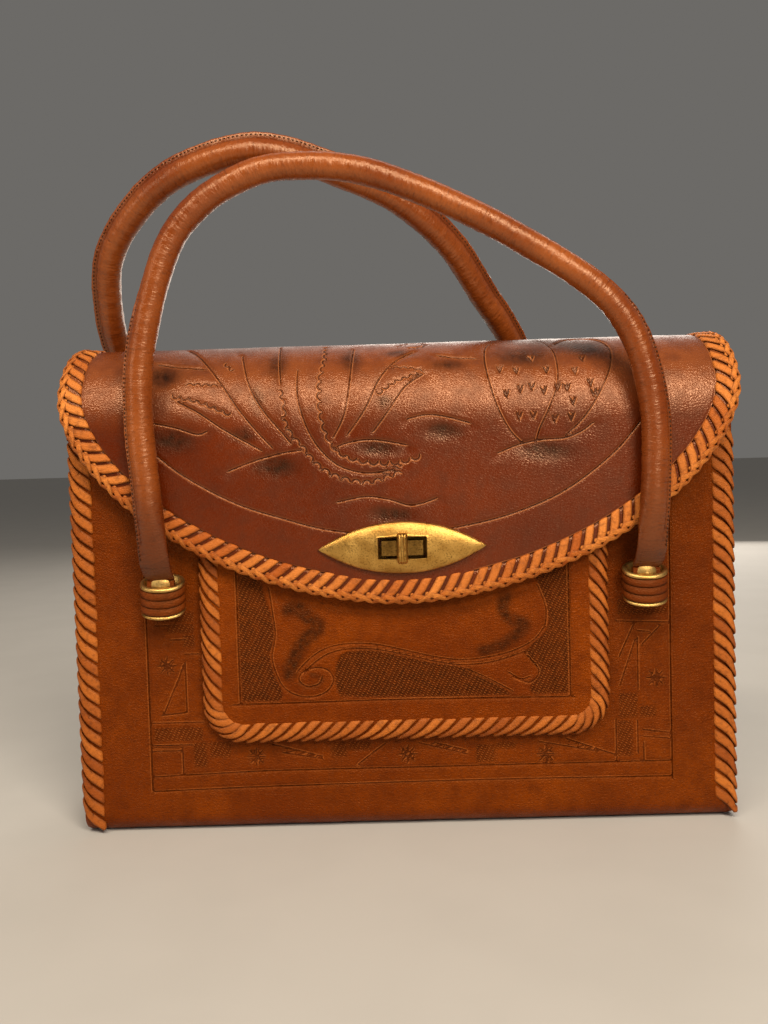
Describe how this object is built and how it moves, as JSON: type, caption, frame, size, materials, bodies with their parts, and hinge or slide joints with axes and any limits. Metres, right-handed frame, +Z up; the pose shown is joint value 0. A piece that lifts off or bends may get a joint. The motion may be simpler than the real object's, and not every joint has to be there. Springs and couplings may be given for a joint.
{
  "type": "tooled leather handbag",
  "caption": "Tooled leather handbag with a laced half-round flap, laced front pocket, brass turn lock and rolled handles held in brass keepers.",
  "frame": {"origin": "middle of the base, on the surface the bag stands on", "axes": "+Z up, -Y towards the front with the lock, +X to the right as seen from the front"},
  "size_m": [0.2963, 0.1095, 0.2999],
  "materials": {
    "body_leather": "tooled and waxed, tan brown",
    "flap_leather": "tooled and glossy, dark red brown",
    "lace_leather": "flat lace, orange tan",
    "handle_leather": "rolled, smooth and worn",
    "board": "stiffening board with a cloth face",
    "brass": "antique, slightly tarnished"
  },
  "bodies": {
    "shell": {"body": "body_leather", "base_board": "board", "gusset_left": "body_leather", "gusset_right": "body_leather", "lacing_front_left": "lace_leather", "lacing_front_right": "lace_leather", "lacing_rear_left": "lace_leather", "lacing_rear_right": "lace_leather", "pocket": "body_leather", "pocket_lacing": "lace_leather", "flap": "flap_leather", "flap_lacing": "lace_leather", "lock_plate": "brass", "lock_back_plate": "brass", "lock_base": "brass", "ferrule_front_left": "brass", "ferrule_front_right": "brass", "ferrule_rear_left": "brass", "ferrule_rear_right": "brass", "band_front_left": "handle_leather", "band_front_right": "handle_leather", "band_rear_left": "handle_leather", "band_rear_right": "handle_leather", "tongue_front_left": "handle_leather", "tongue_front_right": "handle_leather", "tongue_rear_left": "handle_leather", "tongue_rear_right": "handle_leather", "keeper_rivets": "brass"},
    "front_handle": {"front_handle": "handle_leather"},
    "rear_handle": {"rear_handle": "handle_leather"},
    "turn_button": {"turn_button": "brass"}
  },
  "joints": [
    {"name": "front_handle_swing", "type": "hinge", "parent": "shell", "child": "front_handle", "pos_m": [0, -0.0448, 0.1125], "axis": [1, 0, 0], "range_deg": [0, 120]},
    {"name": "rear_handle_swing", "type": "hinge", "parent": "shell", "child": "rear_handle", "pos_m": [0, 0.0448, 0.1125], "axis": [-1, 0, 0], "range_deg": [0, 135]},
    {"name": "turn_button_turn", "type": "hinge", "parent": "shell", "child": "turn_button", "pos_m": [0, -0.0457, 0.1245], "axis": [0, 1, 0], "range_deg": [0, 90]}
  ]
}
